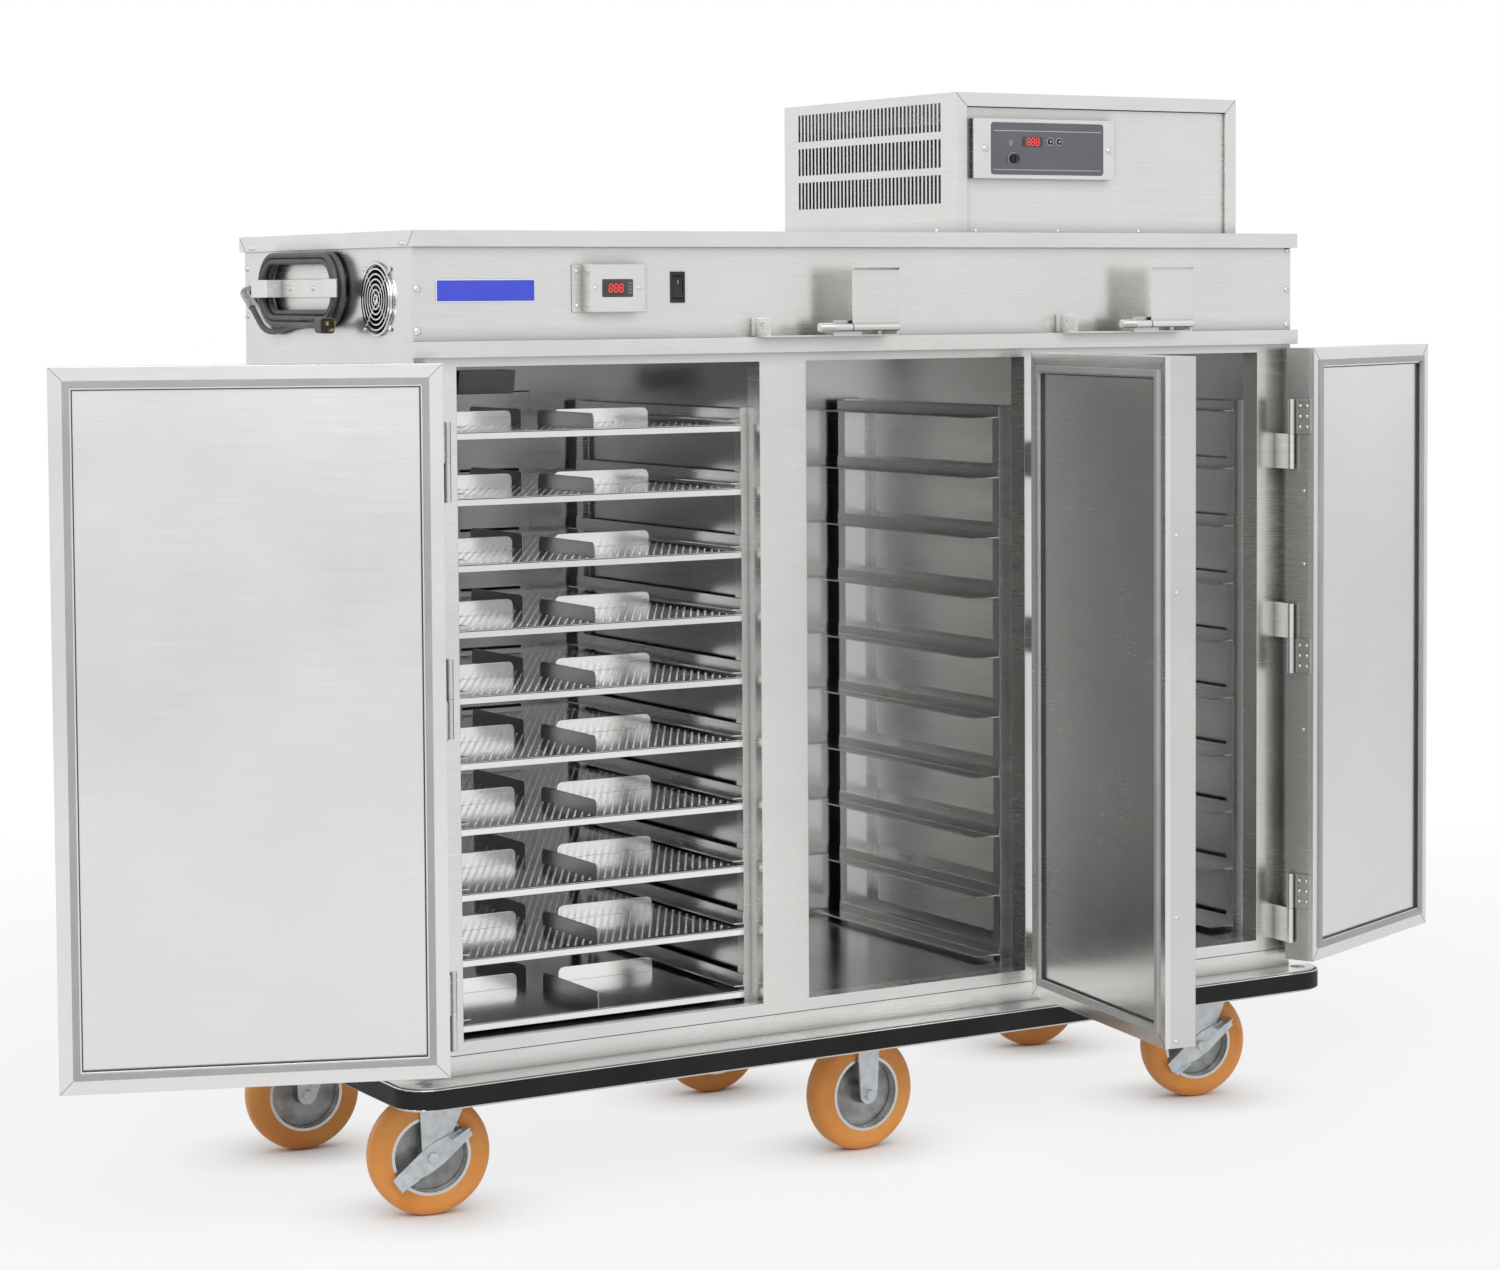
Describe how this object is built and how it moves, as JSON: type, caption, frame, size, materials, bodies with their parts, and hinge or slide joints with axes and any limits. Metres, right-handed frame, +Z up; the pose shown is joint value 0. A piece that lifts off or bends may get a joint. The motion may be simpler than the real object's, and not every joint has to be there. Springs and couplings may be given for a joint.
{
  "type": "enclosed meal tray cart",
  "caption": "Enclosed meal tray cart with a heated shelf bay, refrigerated slide bays, hinged doors, a roof-mounted cooling unit and a bumpered caster base.",
  "frame": {"origin": "on the floor under the middle of the cabinet's plan", "axes": "+X to the right along the front, +Y into the depth, +Z up; the doors face -Y"},
  "size_m": [2.7628, 1.2756, 1.853],
  "materials": {
    "steel": "satin brushed stainless sheet",
    "liner_steel": "bright rolled stainless sheet",
    "rack_steel": "bright stainless sheet and angle",
    "foam": "rigid foam",
    "black_rubber": "satin black",
    "gasket_rubber": "grey, satin",
    "black_plastic": "black, semi gloss",
    "chrome_wire": "bright plated wire",
    "machine_paint": "black enamel",
    "grey_mesh": "woven wire",
    "grey_rubber": "dark grey jacket",
    "grey_plastic": "dark grey moulded",
    "zinc": "bright zinc plate",
    "cast_aluminium": "cast",
    "orange_tyre": "satin orange polyurethane"
  },
  "bodies": {
    "root": {"base_platform": "steel", "bumper": "black_rubber", "outer_shell": "steel", "front_frame": "steel", "hot_liner": "liner_steel", "cold_liner": "liner_steel", "foam_insulation": "foam", "top_cover": "steel", "control_fascia": "steel", "thermostat_box": "steel", "switch_body": "black_plastic", "fan_guard": "chrome_wire", "fan_frame": "black_plastic", "slide_racks": "rack_steel", "tray_shelves": "rack_steel", "frame_hinges": "steel", "latch_bases": "steel", "unit_housing": "steel", "unit_front_panel": "steel", "unit_control_box": "steel", "condensing_unit": "machine_paint", "cord_cleat": "steel", "cord_grip": "grey_mesh", "power_cord": "grey_rubber", "cord_plug": "grey_plastic", "caster_mounts": "zinc"},
    "left_door": {"left_door_pan": "steel", "left_door_liner": "liner_steel", "left_door_gasket": "gasket_rubber"},
    "middle_door": {"middle_door_pan": "steel", "middle_door_liner": "liner_steel", "middle_door_gasket": "gasket_rubber"},
    "right_door": {"right_door_pan": "steel", "right_door_liner": "liner_steel", "right_door_gasket": "gasket_rubber"},
    "rocker": {"rocker_switch": "black_plastic"},
    "fan": {"fan_rotor": "black_plastic"},
    "paddle_middle": {"latch_paddle_middle": "steel"},
    "paddle_right": {"latch_paddle_right": "steel"},
    "up_button": {"button_up": "black_plastic"},
    "down_button": {"button_down": "black_plastic"},
    "dial": {"control_dial": "black_plastic"},
    "caster_front_left": {"fork_front_left": "zinc"},
    "wheel_front_left": {"wheel_front_left": "cast_aluminium", "tyre_front_left": "orange_tyre"},
    "brake_front_left": {"brake_lever_front_left": "zinc"},
    "caster_front_right": {"fork_front_right": "zinc"},
    "wheel_front_right": {"wheel_front_right": "cast_aluminium", "tyre_front_right": "orange_tyre"},
    "brake_front_right": {"brake_lever_front_right": "zinc"},
    "caster_rear_left": {"fork_rear_left": "zinc"},
    "wheel_rear_left": {"wheel_rear_left": "cast_aluminium", "tyre_rear_left": "orange_tyre"},
    "caster_rear_right": {"fork_rear_right": "zinc"},
    "wheel_rear_right": {"wheel_rear_right": "cast_aluminium", "tyre_rear_right": "orange_tyre"},
    "wheel_front_middle": {"wheel_front_middle": "cast_aluminium", "tyre_front_middle": "orange_tyre"},
    "wheel_rear_middle": {"wheel_rear_middle": "cast_aluminium", "tyre_rear_middle": "orange_tyre"}
  },
  "joints": [
    {"name": "left_door_hinge", "type": "hinge", "parent": "root", "child": "left_door", "pos_m": [-0.853, -0.388, 0.83], "axis": [0, 0, -1], "range_deg": [-200.5, 5]},
    {"name": "middle_door_hinge", "type": "hinge", "parent": "root", "child": "middle_door", "pos_m": [0.313, -0.388, 0.83], "axis": [0, 0, 1], "range_deg": [-81.4, 65.6]},
    {"name": "right_door_hinge", "type": "hinge", "parent": "root", "child": "right_door", "pos_m": [0.853, -0.388, 0.83], "axis": [0, 0, 1], "range_deg": [-203.2, 2.8]},
    {"name": "paddle_middle_flip", "type": "hinge", "parent": "root", "child": "paddle_middle", "pos_m": [-0.062, -0.408, 1.446], "axis": [1, 0, 0], "range_deg": [0, 178]},
    {"name": "paddle_right_flip", "type": "hinge", "parent": "root", "child": "paddle_right", "pos_m": [0.564, -0.408, 1.446], "axis": [1, 0, 0], "range_deg": [0, 178]},
    {"name": "rocker_tilt", "type": "hinge", "parent": "root", "child": "rocker", "pos_m": [-0.40775, -0.3375, 1.515], "axis": [1, 0, 0], "range_deg": [-8, 8]},
    {"name": "fan_spin", "type": "hinge", "parent": "root", "child": "fan", "pos_m": [-0.874, -0.212, 1.498], "axis": [1, 0, 0], "continuous": true},
    {"name": "up_press", "type": "slide", "parent": "root", "child": "up_button", "axis": [0, 1, 0], "range_m": [0, 0.002], "stiffness_N_per_m": 400},
    {"name": "down_press", "type": "slide", "parent": "root", "child": "down_button", "axis": [0, 1, 0], "range_m": [0, 0.002], "stiffness_N_per_m": 400},
    {"name": "dial_turn", "type": "hinge", "parent": "root", "child": "dial", "pos_m": [0.298, -0.298, 1.738], "axis": [0, 1, 0], "range_deg": [-150, 150]},
    {"name": "swivel_front_left", "type": "hinge", "parent": "root", "child": "caster_front_left", "pos_m": [-0.788, -0.232, 0.23], "axis": [0, 0, 1], "continuous": true},
    {"name": "roll_front_left", "type": "hinge", "parent": "caster_front_left", "child": "wheel_front_left", "pos_m": [-0.82321, -0.22451, 0.1015], "axis": [0.2079, 0.9781, 0], "continuous": true},
    {"name": "brake_front_left_rock", "type": "hinge", "parent": "caster_front_left", "child": "brake_front_left", "pos_m": [-0.82321, -0.22451, 0.1015], "axis": [0.2079, 0.9781, 0], "range_deg": [0, 25]},
    {"name": "swivel_front_right", "type": "hinge", "parent": "root", "child": "caster_front_right", "pos_m": [0.788, -0.232, 0.23], "axis": [0, 0, 1], "continuous": true},
    {"name": "roll_front_right", "type": "hinge", "parent": "caster_front_right", "child": "wheel_front_right", "pos_m": [0.75279, -0.22451, 0.1015], "axis": [0.2079, 0.9781, 0], "continuous": true},
    {"name": "brake_front_right_rock", "type": "hinge", "parent": "caster_front_right", "child": "brake_front_right", "pos_m": [0.75279, -0.22451, 0.1015], "axis": [0.2079, 0.9781, 0], "range_deg": [0, 25]},
    {"name": "swivel_rear_left", "type": "hinge", "parent": "root", "child": "caster_rear_left", "pos_m": [-0.788, 0.288, 0.23], "axis": [0, 0, 1], "continuous": true},
    {"name": "roll_rear_left", "type": "hinge", "parent": "caster_rear_left", "child": "wheel_rear_left", "pos_m": [-0.8238, 0.29176, 0.1015], "axis": [0.1045, 0.9945, 0], "continuous": true},
    {"name": "swivel_rear_right", "type": "hinge", "parent": "root", "child": "caster_rear_right", "pos_m": [0.788, 0.288, 0.23], "axis": [0, 0, 1], "continuous": true},
    {"name": "roll_rear_right", "type": "hinge", "parent": "caster_rear_right", "child": "wheel_rear_right", "pos_m": [0.75255, 0.29425, 0.1015], "axis": [0.1736, 0.9848, 0], "continuous": true},
    {"name": "roll_front_middle", "type": "hinge", "parent": "root", "child": "wheel_front_middle", "pos_m": [0.009, -0.232, 0.1015], "axis": [0, 1, 0], "continuous": true},
    {"name": "roll_rear_middle", "type": "hinge", "parent": "root", "child": "wheel_rear_middle", "pos_m": [0.009, 0.288, 0.1015], "axis": [0, 1, 0], "continuous": true}
  ]
}
